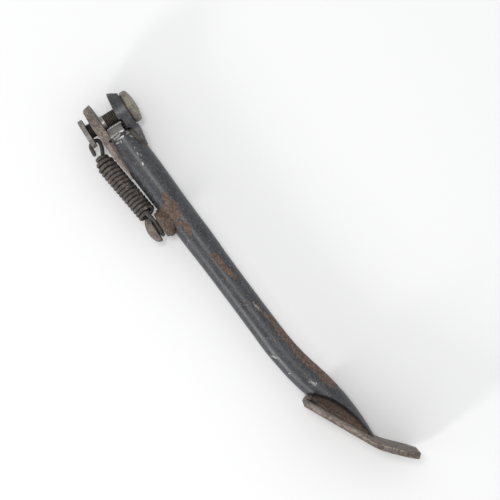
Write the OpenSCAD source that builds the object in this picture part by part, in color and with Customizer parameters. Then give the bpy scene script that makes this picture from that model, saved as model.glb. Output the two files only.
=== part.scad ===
// Side stand of a motorcycle: a bent steel leg with a clevis at its upper end, a pivot bolt with a
// keeper plate, a return spring on a welded post, and a foot plate.
// The origin is on the pivot bolt's axis, midway between the clevis ears. +X runs down the leg to the
// foot, +Y along the bolt to its head, and +Z out of the face that the leg shows when it lies down.

/* [Leg] */
// Diameter of the leg tube at its upper end
leg_d_top = 21.2; // [20:0.1:23]
// Diameter of the leg tube at its slimmest place
leg_d_mid = 18.2; // [17:0.1:19.5]
// Wall of the leg tube
leg_wall = 3.0; // [2:0.1:4]

/* [Clevis] */
// Gap between the ears at the bolt
clevis_gap = 11.0; // [10:0.1:12]
// Radius of the rounded ear ends about the bolt
ear_r = 15.0; // [13:0.1:16]
// Outer face of the ear on the bolt-head side, from the middle of the gap
ear_head_out = 13.9; // [12.5:0.1:14]
// Outer face of the ear on the spring side, from the middle of the gap
ear_spring_out = 12.2; // [11:0.1:12.5]
// Height of the stop block, across the leg
block_depth = 24; // [20:0.5:28]

/* [Pivot bolt] */
// Diameter of the bolt's shank and thread
bolt_d = 10.0; // [9.5:0.1:10.5]
// Diameter of the bolt's head
head_d = 22.7; // [20:0.1:25]
// Height of the head's rim
head_rim = 3.7; // [3:0.1:5]
// Rise of the head's dome above the rim
head_dome = 2.2; // [1:0.1:3]
// Pitch of the fine thread
thread_pitch = 1.25; // [1:0.25:1.5]

/* [Keeper plate] */
// Thickness of the plate that holds the spring's upper hook
keeper_t = 3.2; // [2.8:0.1:3.4]
// Width of the keeper plate
keeper_w = 16; // [15:0.5:20]

/* [Spring] */
// Diameter of the spring wire
wire_d = 2.75; // [2.5:0.05:2.8]
// Outer diameter of the coils
coil_d = 13.3; // [12.8:0.1:13.4]
// Number of turns between the hooks
coil_turns = 15.25; // [15.25]

/* [Spring post] */
// Distance of the post from the bolt's axis
post_x = 78; // [78:0.1:79]
// Diameter of the post's domed head
post_head_d = 18.3; // [16:0.1:18.5]
// Diameter of the collar under the wire groove
collar_d = 18.2; // [16:0.1:18.5]

/* [Foot] */
// Width of the foot plate, across the leg
foot_w = 42; // [38:0.5:50]
// Thickness of the foot plate
foot_t = 4.3; // [3:0.1:4.5]
// Length of the plate's flat part, which the stand rests on
foot_flat = 51; // [50:0.5:53]
// Length of the straight toe past the bend
foot_toe = 21; // [16:0.5:26]
// Angle that the toe turns up by
toe_angle = 16; // [8:1:22]

/* [Hidden] */
$fn = 64;
run_gap = 0.06;         // radial running clearance of the bolt
face_gap = 0.1;         // clearance between faces that turn on each other
gap_in = clevis_gap / 2;
block_start = 6.3;      // face of the stop block, along the leg
tube_start = 13;        // where the tube meets the clevis
groove_in = 7.5;        // bottom of the relief beside the stop block
ear_half_depth = 20;    // more than half an ear's depth, for cutting solids
shoulder_w = 9.6;       // half width of each ear where it meets the tube
washer_t = 0.6;
tenon_r = 4.0;          // bolt end that is riveted into the keeper plate
keeper_in = 15.9;       // keeper plate's inner face, from the middle of the gap
keeper_hole_x = 7.25;
keeper_hole_r = 2.4;
wire_r = wire_d / 2;
wire_sides = 8;
coil_r = (coil_d - wire_d) / 2;
coil_steps = 12;        // stations on each turn
coil_pitch = wire_d + 0.15;
coil_open = 1.1;        // how much the upper turns stand open, in all
coil_open_turns = 3;
coil_lean = 0.3;        // lean of each turn's upper side towards the upper hook
cone_turns = 1.4;       // turns that narrow towards the upper hook
cone_from = 0.5;
cone_rate = 1.6;        // how much the radius shrinks on each of those turns
cone_shift = 0.4;       // and how far each moves towards the leg
cone_pitch = 3.3;
hook_end_turn = -0.05;  // the upper hook stops short of the coil's start
coil_tilt = 8.3;        // the coil's axis leans towards the leg by this angle
coil_start = [22.3, -18.4, 0];
hook_r = 3.45;          // bend of the upper hook
hook_mid_y = -17.1;
hook_top_r = 2.15;      // its tighter bend beside the ear
hook_top_y = -13.45;
loop_r = 5.7;           // lower hook's radius about the post
loop_y = -10.35;
post_neck_r = 4.0;
foot_heel = [228.32, 9.01, 0];
foot_angle = 28;        // from the leg's axis to the plate
toe_bend_r = 45;
bore_stations = 10;     // the leg is hollow along this many of its stations
pinch_peak = 7.8;       // the leg's pinched end: greatest height over the plate
pinch_peak_s = 17;      // and where that is along the plate, from the heel
pinch_from = -5;
pinch_to = 50;
pinch_share = 0.55;     // depth of the pinched stretch against the leg's depth

// Centre and half sizes of the leg along its length: [x, y, half width in the XY plane, half depth]
r_top = leg_d_top / 2;
r_mid = leg_d_mid / 2;
leg_stations = [
    [5, 0.3, r_top, r_top + 0.3],
    [20, 1.4, r_top, r_top + 0.3],
    [44, 3.4, r_top, r_top + 0.2],
    [70, 5.6, (r_top + r_mid) / 2 + 0.2, (r_top + r_mid) / 2 + 0.4],
    [96, 8.0, r_mid + 0.6, r_mid + 0.8],
    [121, 10.0, r_mid + 0.2, r_mid + 0.4],
    [146, 12.1, r_mid, r_mid + 0.2],
    [171, 14.1, r_mid + 0.1, r_mid + 0.2],
    [186, 15.5, r_mid + 0.3, r_mid + 0.2],
    [201, 17.9, r_mid + 0.5, r_mid + 0.1],
    [213, 20.7, r_mid + 0.8, r_mid + 0.1],
    [225, 24.0, r_mid + 0.7, r_mid + 0.3],
    [238, 26.7, r_mid + 0.5, r_mid + 0.6],
    [250, 28.4, r_mid + 0.2, r_mid + 0.8],
    [262, 29.2, r_mid - 0.1, r_mid + 0.9],
    [280, 29.4, r_mid - 0.5, r_mid + 0.9]
];

// --- Curves and sweeps -------------------------------------------------------------------------

function unit(v) = v / norm(v);

// A point on the smooth curve through p1 and p2
function on_curve(p0, p1, p2, p3, t) =
    0.5 * (2 * p1 + (p2 - p0) * t + (2 * p0 - 5 * p1 + 4 * p2 - p3) * t * t
        + (3 * p1 - p0 - 3 * p2 + p3) * t * t * t);

// A smooth curve through all the points, with steps stations between each two
function curve(pts, steps) =
    let (last = len(pts) - 1)
    concat(
        [for (i = [0 : last - 1], k = [0 : steps - 1])
            on_curve(pts[max(i - 1, 0)], pts[i], pts[i + 1], pts[min(i + 2, last)], k / steps)],
        [pts[last]]
    );

function tangent(path, i) =
    unit(path[min(i + 1, len(path) - 1)] - path[max(i - 1, 0)]);

function square_to(u, t) = unit(u - (u * t) * t);

// One direction across the path for each station, turning as little as possible
function sides_of(path, first) = [
    for (i = 0, u = square_to(first, tangent(path, 0));
        i < len(path);
        u = square_to(u, tangent(path, min(i + 1, len(path) - 1))), i = i + 1) u
];

// Triangles of a closed skin over rings of n points each
function skin_faces(rings, n) = concat(
    [[for (j = [0 : n - 1]) j]],
    [for (i = [0 : rings - 2], j = [0 : n - 1]) [i * n + j, (i + 1) * n + j, (i + 1) * n + (j + 1) % n]],
    [for (i = [0 : rings - 2], j = [0 : n - 1]) [i * n + j, (i + 1) * n + (j + 1) % n, i * n + (j + 1) % n]],
    [[for (j = [n - 1 : -1 : 0]) (rings - 1) * n + j]]
);

// A round wire along a path
module wire(path, first_side) {
    side = sides_of(path, first_side);
    points = [
        for (i = [0 : len(path) - 1], j = [0 : wire_sides - 1])
            let (a = 360 * j / wire_sides, other = cross(tangent(path, i), side[i]))
            path[i] + wire_r * (cos(a) * side[i] + sin(a) * other)
    ];
    polyhedron(points, skin_faces(len(path), wire_sides));
}

function smooth_step(x, low, high) =
    let (t = max(0, min(1, (x - low) / (high - low)))) t * t * (3 - 2 * t);

// The leg's end is pinched where it meets the foot plate. For a place in the XY plane, this gives its
// distance along the plate and its height over the plate's upper face.
function over_plate(p) =
    let (d = [p[0] - foot_heel[0], p[1] - foot_heel[1]])
    [d * [cos(foot_angle), sin(foot_angle)], d * [-sin(foot_angle), cos(foot_angle)] - foot_t];

// Height of the pinched stretch at distance s along the plate
function pinch_height(s) =
    let (reach = s < pinch_peak_s ? pinch_peak_s - pinch_from : pinch_to - pinch_peak_s)
    pinch_peak * (1 - pow((s - pinch_peak_s) / reach, 2));

// Share of the full depth that the leg has at a place in the XY plane
function depth_share(p) =
    let (at = over_plate(p), edge = pinch_height(at[0]))
    pinch_share + (1 - pinch_share) * smooth_step(at[1], edge - 1.5, edge + 1.5);

// An oval bar along stations [x, y, half width, half depth], thinner than them by wall
module bar(stations, wall, n) {
    path = [for (s = stations) [s[0], s[1], 0]];
    points = [
        for (i = [0 : len(stations) - 1], j = [0 : n - 1])
            let (
                a = 360 * (j + 0.5) / n,
                t = tangent(path, i),
                at = path[i] + [-t[1], t[0], 0] * (stations[i][2] - wall) * cos(a)
            )
            at + [0, 0, 1] * (stations[i][3] - wall) * sin(a) * depth_share(at)
    ];
    polyhedron(points, skin_faces(len(stations), n));
}

// --- Clevis ------------------------------------------------------------------------------------

// Outline of each ear in the XY plane, from the tip down the inner face and back up the outer face
ear_head_plan = [
    [-15.5, 7.0], [0, gap_in + 0.1], [5.2, gap_in], [5.2, groove_in], [12.4, groove_in],
    [tube_start, 9.6], [25, 11.6], [25, 13.3], [17.4, 14.7], [tube_start + 0.3, 15.1],
    [11.8, ear_head_out], [-10.7, ear_head_out - 0.05]
];
ear_spring_plan = [
    [-15.0, -6.4], [0, -gap_in], [tube_start, -gap_in], [tube_start, -7.6], [42, -7.0],
    [42, -7.9], [22, -11.25], [0, -ear_spring_out], [-11.4, -ear_spring_out - 0.1],
    [-13.2, -11.4]
];

module plan(points) {
    translate([0, 0, -ear_half_depth]) linear_extrude(2 * ear_half_depth) polygon(points);
}

// Side view of an ear: round about the bolt, and narrowing to half width root_w at x = root_x
module ear_side(root_x, root_w) {
    rotate([90, 0, 0]) linear_extrude(2 * ear_half_depth, center = true) {
        circle(ear_r + 0.5);
        polygon([[0, -ear_r - 0.5], [9, -ear_r + 1.5], [15, -shoulder_w], [root_x, -root_w],
            [root_x, root_w], [15, shoulder_w], [9, ear_r - 1.5], [0, ear_r + 0.5]]);
    }
}

module bolt_hole(r) {
    rotate([90, 0, 0]) cylinder(r = r, h = 60, center = true);
}

module ear_head_side() {
    color([0.13, 0.13, 0.15])
    difference() {
        intersection() {
            plan(ear_head_plan);
            ear_side(26, 8);
        }
        bolt_hole(bolt_d / 2 + run_gap);
    }
}

module ear_spring_side() {
    color([0.36, 0.30, 0.26])
    difference() {
        intersection() {
            plan(ear_spring_plan);
            ear_side(43, 5);
        }
        bolt_hole(bolt_d / 2 + run_gap);
    }
}

// The block that the frame's stop meets, with a bevel worn bright on both faces
module stop_block() {
    half = block_depth / 2;
    color([0.55, 0.55, 0.56])
    rotate([90, 0, 0])
    translate([0, 0, -gap_in + 0.2])
    linear_extrude(clevis_gap - 0.2)
    polygon([[block_start, -half / 2], [11.5, -half], [tube_start, -half],
        [tube_start, half], [11.5, half], [block_start, half / 2]]);
}

module block_weld() {
    color([0.20, 0.20, 0.21])
    for (side = [-1, 1])
        translate([tube_start + 0.6, -0.3, side * (r_top + 0.4)])
            rotate([90, 0, 0])
                cylinder(r = 1.5, h = 9, center = true);
}

module ear_weld_head() {
    color([0.30, 0.24, 0.20])
    translate([25.2, 12.1, 0]) cylinder(r = 1.3, h = 12, center = true);
}

module ear_weld_spring() {
    color([0.28, 0.23, 0.20])
    for (side = [-1, 1])
        translate([15, -6.9, side * 7.6])
            rotate([0, 90 + side * 7, 0])
                cylinder(r = 1.4, h = 19);
}

// --- Leg ---------------------------------------------------------------------------------------

// Everything on the plate's side of its upper face
module below_foot() {
    translate(foot_heel) rotate([0, 0, foot_angle])
        translate([-40, foot_t - 60, -40]) cube([140, 60, 80]);
}

module leg_tube() {
    color([0.11, 0.12, 0.14])
    difference() {
        bar(curve(leg_stations, 2), 0, 28);
        bar([for (i = [0 : bore_stations - 1]) leg_stations[i]], leg_wall, 16);
        translate([tube_start - 40, -20, -20]) cube(40);
        plan(ear_head_plan);
        plan(ear_spring_plan);
        below_foot();
        foot_solid();
    }
}

// --- Foot --------------------------------------------------------------------------------------

// Points on the toe's bend: radius r about a centre above the end of the flat part
function toe_bend(r, steps) = [
    for (k = [0 : steps])
        let (a = toe_angle * k / steps)
        [foot_flat + r * sin(a), toe_bend_r - r * cos(a)]
];

module foot_profile() {
    along = foot_toe * [cos(toe_angle), sin(toe_angle)];
    under = toe_bend(toe_bend_r, 6);
    over = toe_bend(toe_bend_r - foot_t, 6);
    polygon(concat(
        [[0, 0]],
        under,
        [under[6] + along],
        [over[6] + along],
        [for (k = [6 : -1 : 0]) over[k]],
        [[0, foot_t]]
    ));
}

// Plan of the plate: a rectangle with rounded corners, rounder at the toe
module foot_outline() {
    length = foot_flat + foot_toe + toe_bend_r * toe_angle * PI / 180;
    half = foot_w / 2;
    heel_r = 2.5;
    toe_r = 13;
    translate([0, -half + heel_r]) square([length - toe_r, foot_w - 2 * heel_r]);
    translate([heel_r, -half]) square([length - toe_r - heel_r, foot_w]);
    translate([heel_r, 0]) square([length - heel_r, foot_w - 2 * toe_r], center = false);
    translate([heel_r, -half + toe_r]) square([length - heel_r, foot_w - 2 * toe_r]);
    for (side = [-1, 1]) {
        translate([heel_r, side * (half - heel_r)]) circle(heel_r);
        translate([length - toe_r, side * (half - toe_r)]) circle(toe_r);
    }
}

module foot_solid() {
    translate(foot_heel) rotate([0, 0, foot_angle])
    intersection() {
        translate([0, 0, -foot_w]) linear_extrude(2 * foot_w) foot_profile();
        rotate([-90, 0, 0]) translate([0, 0, -1]) linear_extrude(40) foot_outline();
    }
}

module foot_plate() {
    color([0.38, 0.31, 0.27]) foot_solid();
}

// Beads along both sides of the leg's slanted end, and the fill between the plate's heel and the leg
module foot_weld() {
    color([0.22, 0.17, 0.14])
    translate(foot_heel) rotate([0, 0, foot_angle]) {
        for (side = [-1, 1])
            translate([5, foot_t + 0.3, side * 4.4])
                rotate([0, 90, 0])
                    cylinder(r = 1.9, h = 40);
        linear_extrude(4.8, center = true)
            polygon([[0.2, foot_t - 0.3], [-0.7, foot_t + 3.6], [6, foot_t + 3], [16, foot_t - 0.3]]);
    }
}

// --- Spring post -------------------------------------------------------------------------------

// A round piece on the post's axis: points are [radius, distance towards the bolt head]
module on_post(points) {
    translate([post_x, 0, 0]) rotate([-90, 0, 0]) rotate_extrude() polygon(points);
}

post_head_in = 12.2;    // head's inner face, from the middle of the gap
post_rim = 1.5;
post_dome = 4.6;
collar_out = 8.5;
collar_in = 5.0;

function dome_points(r, top, rise, steps) = [
    for (k = [0 : steps])
        let (a = 90 * k / steps)
        [r * cos(a), -(top + rise * sin(a))]
];

module spring_post() {
    r = post_head_d / 2;
    color([0.33, 0.28, 0.25])
    on_post(concat(
        [[0, -collar_in + 0.6], [post_neck_r, -collar_in + 0.6], [post_neck_r, -post_head_in],
            [r, -post_head_in]],
        dome_points(r, post_head_in + post_rim, post_dome, 7)
    ));
}

module post_collar() {
    color([0.34, 0.27, 0.23])
    on_post([
        [post_neck_r + 0.05, -collar_out], [collar_d / 2 - 0.6, -collar_out],
        [collar_d / 2, -collar_out + 0.6], [collar_d / 2, -collar_in],
        [post_neck_r + 0.05, -collar_in]
    ]);
}

module post_weld() {
    color([0.36, 0.27, 0.21])
    difference() {
        on_post([[0, -collar_in + 0.6], [post_neck_r + 0.05, -collar_in + 0.6],
            [post_neck_r + 0.05, -collar_in], [collar_d / 2 - 0.4, -collar_in],
            [collar_d / 2 + 0.6, -collar_in + 2.2], [collar_d / 2 - 1, 0.8], [0, 0.8]]);
        bar(leg_stations, 0.6, 16);
    }
}

// --- Pivot hardware ----------------------------------------------------------------------------

// Thread as a row of V grooves, from y0 towards the head
thread_turns = 9;
thread_depth = 0.65;
thread_start = -3.4;

function thread_points(r) = [
    for (k = [0 : thread_turns - 1], step = [0 : 2])
        let (y = thread_start + thread_pitch * (k + step * 0.45))
        [step == 1 ? r - thread_depth : r, y]
];

module pivot_bolt() {
    r = bolt_d / 2;
    head_in = ear_head_out + washer_t + 2 * face_gap;
    head_r = head_d / 2;
    dome = [
        for (k = [0 : 6])
            let (a = 90 * k / 6)
            [(head_r - 1.2) * cos(a), head_in + head_rim + head_dome * sin(a)]
    ];
    color([0.48, 0.45, 0.34])
    difference() {
        rotate([-90, 0, 0]) rotate_extrude() polygon(concat(
            [[0, -keeper_in - keeper_t], [tenon_r, -keeper_in - keeper_t],
                [tenon_r, -keeper_in + 0.05], [r, -keeper_in + 0.05]],
            thread_points(r),
            [[r, head_in], [head_r, head_in], [head_r, head_in + head_rim]],
            dome
        ));
        translate([0, head_in + head_rim + head_dome - 2.6, 0])
            rotate([-90, 0, 0]) cylinder(r = 4.6, h = 5, $fn = 6);
    }
}

module head_washer() {
    color([0.30, 0.28, 0.24])
    translate([0, ear_head_out + face_gap, 0]) rotate([-90, 0, 0])
    difference() {
        cylinder(r = head_d / 2 - 1, h = washer_t);
        translate([0, 0, -1]) cylinder(r = bolt_d / 2 + 0.2, h = washer_t + 2);
    }
}

// The plate is riveted on the bolt's end, and its hole holds the spring's upper hook
module keeper_plate() {
    r = keeper_w / 2;
    color([0.37, 0.35, 0.31])
    translate([0, -keeper_in, 0]) rotate([90, 0, 0])
    difference() {
        linear_extrude(keeper_t) {
            intersection() {
                circle(9.8);
                square([40, keeper_w], center = true);
            }
            translate([4, 0]) intersection() {
                circle(6.9);
                square([40, keeper_w], center = true);
            }
        }
        translate([0, 0, -1]) cylinder(r = tenon_r + 0.05, h = keeper_t + 2);
        translate([keeper_hole_x, 0, -1]) cylinder(r = keeper_hole_r, h = keeper_t + 2);
    }
}

// --- Spring ------------------------------------------------------------------------------------

coil_axis = [cos(coil_tilt), sin(coil_tilt), 0];
coil_side = [-sin(coil_tilt), cos(coil_tilt), 0];

// Wire centre after t turns, counted from the upper end
function coil_point(t) =
    let (
        a = 180 - 360 * t,
        in_cone = max(0, cone_from - t),
        r = coil_r - cone_rate * in_cone,
        open = coil_open * (1 - pow(max(0, 1 - t / coil_open_turns), 2)),
        along = t < 0 ? cone_pitch * t : coil_pitch * t + open
    )
    coil_start + coil_axis * (along - coil_lean * r * sin(a))
        + coil_side * (r * cos(a) + cone_shift * in_cone) + [0, 0, r * sin(a)];

function loop_point(a) = [post_x + loop_r * cos(a), loop_y, loop_r * sin(a)];

module spring_coil() {
    coils = [for (t = [0 : 1 / coil_steps : coil_turns]) coil_point(t)];
    last = len(coils) - 1;
    to_loop = curve([coils[last - 1], coils[last], [68.2, -11.3, 5.6], [71, -10.5, 5.75],
        [74, loop_y, 5.7], loop_point(90)], 3);
    loop = [for (a = [75 : -15 : -90]) loop_point(a)];
    tail = [[74.6, loop_y, -5.3], [72, loop_y, -4.4]];
    bridge = [for (i = [4 : len(to_loop) - 1]) to_loop[i]];
    color([0.24, 0.22, 0.20])
    wire(concat(coils, bridge, loop, tail), coil_side);
}

module spring_upper_hook() {
    bend_x = keeper_hole_x - 0.1;
    bend = concat(
        [for (a = [-90 : -15 : -180])
            [bend_x + hook_r * (1 + cos(a)), hook_mid_y + hook_r * sin(a), 0]],
        [for (a = [-180 : -15 : -270])
            [bend_x + hook_top_r * (1 + cos(a)), hook_top_y + hook_top_r * (sin(a) - 1), 0]]
    );
    cone = [for (t = [-cone_turns : 1 / coil_steps : hook_end_turn]) coil_point(t)];
    free_end = curve([[15.8, -21.1, -0.5], [14.2, -20.8, -0.2], [12.6, -20.6, 0], bend[0]], 3);
    rise = curve([bend[len(bend) - 1], [12.2, -13.85, 0], [15.1, -14.95, 0.1], cone[0], cone[1]], 3);
    path = concat(
        free_end,
        [for (i = [1 : len(bend) - 1]) bend[i]],
        [for (i = [1 : len(rise) - 4]) rise[i]],
        [for (i = [1 : len(cone) - 1]) cone[i]]
    );
    color([0.24, 0.22, 0.20])
    wire(path, [0, 0, 1]);
}

leg_tube();
ear_head_side();
ear_spring_side();
stop_block();
block_weld();
ear_weld_head();
ear_weld_spring();
foot_plate();
foot_weld();
spring_post();
post_collar();
post_weld();
pivot_bolt();
head_washer();
keeper_plate();
spring_coil();
spring_upper_hook();
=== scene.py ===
"""Looks of the side stand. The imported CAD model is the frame, and each piece here stands for one or
more of its nodes, with rounded edges, dents, pits, weld ripples and worn coats."""
import math

import bpy
import numpy as np
from mathutils import Matrix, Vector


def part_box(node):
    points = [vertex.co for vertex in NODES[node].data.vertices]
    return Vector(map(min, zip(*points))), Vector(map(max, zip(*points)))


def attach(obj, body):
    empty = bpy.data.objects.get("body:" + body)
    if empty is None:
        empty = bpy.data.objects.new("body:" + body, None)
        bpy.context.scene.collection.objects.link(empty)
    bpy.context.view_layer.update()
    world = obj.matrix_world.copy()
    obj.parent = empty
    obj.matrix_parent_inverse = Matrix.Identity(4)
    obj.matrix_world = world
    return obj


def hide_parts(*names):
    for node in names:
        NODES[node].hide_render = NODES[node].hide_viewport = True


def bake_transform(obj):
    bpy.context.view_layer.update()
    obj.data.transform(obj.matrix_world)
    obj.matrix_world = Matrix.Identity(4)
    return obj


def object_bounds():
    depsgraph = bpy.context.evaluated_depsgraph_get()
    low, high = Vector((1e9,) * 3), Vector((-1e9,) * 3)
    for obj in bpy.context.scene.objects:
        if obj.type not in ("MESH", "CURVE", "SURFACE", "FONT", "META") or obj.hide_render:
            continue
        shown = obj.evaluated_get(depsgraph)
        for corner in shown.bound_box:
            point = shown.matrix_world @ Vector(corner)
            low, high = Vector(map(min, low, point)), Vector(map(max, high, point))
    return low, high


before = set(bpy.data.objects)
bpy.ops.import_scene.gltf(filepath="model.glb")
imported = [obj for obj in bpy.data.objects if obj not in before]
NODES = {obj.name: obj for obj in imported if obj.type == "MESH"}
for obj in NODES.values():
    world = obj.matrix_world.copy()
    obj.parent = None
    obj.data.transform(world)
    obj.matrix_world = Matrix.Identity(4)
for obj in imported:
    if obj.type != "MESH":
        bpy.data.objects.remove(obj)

MM = 0.001
CAD_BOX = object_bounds()

# Sizes in millimetres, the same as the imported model's
TUBE_START = 13.0
LEG_STATIONS = np.array([
    [5, 0.3, 10.6, 10.9], [20, 1.4, 10.6, 10.9], [44, 3.4, 10.6, 10.8], [70, 5.6, 10.05, 10.25],
    [96, 8.0, 9.7, 9.9], [121, 10.0, 9.3, 9.5], [146, 12.1, 9.1, 9.3], [171, 14.1, 9.2, 9.3],
    [186, 15.5, 9.4, 9.3], [201, 17.9, 9.6, 9.2], [213, 20.7, 9.9, 9.2], [225, 24.0, 9.8, 9.4],
    [238, 26.7, 9.6, 9.7], [250, 28.4, 9.3, 9.9], [262, 29.2, 9.0, 10.0], [280, 29.4, 8.6, 10.0],
])
FOOT_HEEL = np.array([228.32, 9.01])
FOOT_ANGLE = math.radians(28)
FOOT_T = 4.3
PINCH_PEAK, PINCH_PEAK_S, PINCH_FROM, PINCH_TO = 7.8, 17.0, -5.0, 50.0
PINCH_SHARE = 0.55
POST_X = 78.0
WIRE_R = 1.375
COIL_R = 5.275
COIL_PITCH = 2.9
COIL_OPEN, COIL_OPEN_TURNS = 1.1, 3.0
COIL_TURNS = 15.25
COIL_LEAN = 0.3
CONE_TURNS, CONE_FROM, CONE_RATE, CONE_SHIFT, CONE_PITCH = 1.4, 0.5, 1.6, 0.4, 3.3
COIL_TILT = math.radians(8.3)
COIL_START = np.array([22.3, -18.4, 0.0])
HOOK_R = 3.45
HOOK_X = 10.6
HOOK_Y = -17.1
HOOK_TOP_R = 2.15
HOOK_TOP_Y = -13.45
LOOP_R = 5.7
LOOP_Y = -10.35
WIRE_STEP = 0.5
SHANK_R = 5.0
THREAD_PITCH, THREAD_DEPTH = 1.25, 0.62
HEAD_HEIGHT, HEAD_RIM, HEAD_DOME, HEAD_R = 6.0, 3.7, 2.2, 11.0
SOCKET_DEPTH = 2.6


# --- Noise and curves ---------------------------------------------------------------------------

STIR_X, STIR_Y, STIR_Z, STIR_SEED = 374761393, 668265263, 1274126177, 974634777
STIR_FIRST, STIR_SECOND = 1103515245, 668265263
LOW_32, LOW_16 = 0xFFFFFFFF, 0xFFFF


def lattice(x, y, z, seed):
    """A repeatable value from -1 to 1 for each whole-number place."""
    h = (x * STIR_X + y * STIR_Y + z * STIR_Z + seed * STIR_SEED) & LOW_32
    h = ((h ^ (h >> 13)) * STIR_FIRST) & LOW_32
    h = ((h ^ (h >> 16)) * STIR_SECOND) & LOW_32
    h = h ^ (h >> 15)
    return (h & LOW_16) / (LOW_16 / 2) - 1


def noise(points, size, seed):
    """Smooth noise from -1 to 1, with lumps of about size."""
    scaled = points / size + 512
    base = np.floor(scaled).astype(np.int64)
    t = scaled - base
    t = t * t * (3 - 2 * t)
    total = np.zeros(len(points))
    for corner in range(8):
        step = np.array([corner & 1, corner >> 1 & 1, corner >> 2 & 1])
        weight = np.prod(np.where(step, t, 1 - t), axis=1)
        at = base + step
        total += weight * lattice(at[:, 0], at[:, 1], at[:, 2], seed)
    return total


def layered(points, size, seed, layers=3):
    """Noise with finer lumps added on coarser ones."""
    parts = [noise(points, size / 2 ** k, seed + k) / 2 ** k for k in range(layers)]
    return sum(parts) / 1.6


def smooth_step(x, low, high):
    t = np.clip((x - low) / (high - low), 0, 1)
    return t * t * (3 - 2 * t)


def on_curve(points, u):
    """Places on the smooth curve through points, where whole numbers of u are the points."""
    points = np.asarray(points, float)
    last = len(points) - 1
    i = np.clip(np.floor(u).astype(int), 0, last - 1)
    t = (u - i)[:, None]
    p0, p1 = points[np.maximum(i - 1, 0)], points[i]
    p2, p3 = points[i + 1], points[np.minimum(i + 2, last)]
    return 0.5 * (2 * p1 + (p2 - p0) * t + (2 * p0 - 5 * p1 + 4 * p2 - p3) * t ** 2
                  + (3 * p1 - p0 - 3 * p2 + p3) * t ** 3)


def smooth_path(points, step):
    """The smooth curve through points, as places a step apart."""
    dense = on_curve(points, np.linspace(0, len(points) - 1, 40 * len(points)))
    return even_path(dense, step)


def even_path(dense, step):
    lengths = np.r_[0, np.cumsum(np.linalg.norm(np.diff(dense, axis=0), axis=1))]
    count = max(3, int(round(lengths[-1] / step)) + 1)
    at = np.linspace(0, lengths[-1], count)
    return np.stack([np.interp(at, lengths, dense[:, k]) for k in range(dense.shape[1])], axis=1)


# --- Meshes -------------------------------------------------------------------------------------

def make_object(name, points, faces):
    """A smooth-shaded mesh object from points in millimetres."""
    mesh = bpy.data.meshes.new(name)
    mesh.from_pydata((np.asarray(points) * MM).tolist(), [], faces)
    mesh.polygons.foreach_set("use_smooth", [True] * len(mesh.polygons))
    mesh.update()
    made = bpy.data.objects.new(name, mesh)
    bpy.context.scene.collection.objects.link(made)
    return made


def points_of(piece):
    flat = np.zeros(len(piece.data.vertices) * 3)
    piece.data.vertices.foreach_get("co", flat)
    return flat.reshape(-1, 3) / MM


def set_points(piece, points):
    piece.data.vertices.foreach_set("co", (points * MM).ravel())
    piece.data.update()


def normals_of(piece):
    flat = np.zeros(len(piece.data.vertices) * 3, np.float32)
    piece.data.vertex_normals.foreach_get("vector", flat)
    return flat.reshape(-1, 3).astype(float)


def push(piece, amount):
    """Moves each point along its normal by amount, in millimetres."""
    set_points(piece, points_of(piece) + normals_of(piece) * np.asarray(amount)[:, None])


def set_mask(piece, name, values):
    layer = piece.data.attributes.get(name) or piece.data.attributes.new(name, "FLOAT", "POINT")
    layer.data.foreach_set("value", np.clip(values, 0, 1).astype(np.float32))


def edges_of(piece):
    flat = np.zeros(len(piece.data.edges) * 2, np.int32)
    piece.data.edges.foreach_get("vertices", flat)
    return flat.reshape(-1, 2)


def spread(values, edges, steps):
    """Averages each point's value with its neighbours', steps times."""
    a, b = edges.T
    count = np.bincount(a, minlength=len(values)) + np.bincount(b, minlength=len(values))
    for _ in range(steps):
        total = np.bincount(a, values[b], len(values)) + np.bincount(b, values[a], len(values))
        values = (values + total) / (1 + count)
    return values


def sharpness(piece):
    """Above 0 on ridges and outer edges, and below 0 in hollows."""
    points, edges = points_of(piece), edges_of(piece)
    middle = np.stack([spread(points[:, k], edges, 3) for k in range(3)], axis=1)
    rise = np.einsum("ij,ij->i", points - middle, normals_of(piece))
    return spread(rise, edges, 4)


def remeshed(name, node, voxel, rounding):
    """A copy of a CAD node's mesh with even small faces and rounded edges."""
    piece = bpy.data.objects.new(name, NODES[node].data.copy())
    bpy.context.scene.collection.objects.link(piece)
    even = piece.modifiers.new("even", "REMESH")
    even.mode = "VOXEL"
    even.voxel_size = voxel * MM
    smooth = piece.modifiers.new("smooth", "SMOOTH")
    smooth.factor = 0.5
    smooth.iterations = rounding
    return flattened(piece)


def flattened(piece):
    """Applies a piece's modifiers."""
    graph = bpy.context.evaluated_depsgraph_get()
    mesh = bpy.data.meshes.new_from_object(piece.evaluated_get(graph))
    piece.modifiers.clear()
    piece.data = mesh
    mesh.name = piece.name
    mesh.materials.clear()
    mesh.polygons.foreach_set("use_smooth", [True] * len(mesh.polygons))
    return piece


def grid_faces(rows, columns, first=0):
    """Faces of a closed tube of rings, with a fan on each end round two last points."""
    faces = []
    for i in range(rows - 1):
        for j in range(columns):
            k = (j + 1) % columns
            a, b = first + i * columns, first + (i + 1) * columns
            faces.append((a + j, a + k, b + k, b + j))
    head = first + rows * columns
    last = first + (rows - 1) * columns
    for j in range(columns):
        k = (j + 1) % columns
        faces.append((first + k, first + j, head))
        faces.append((last + j, last + k, head + 1))
    return faces


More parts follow.
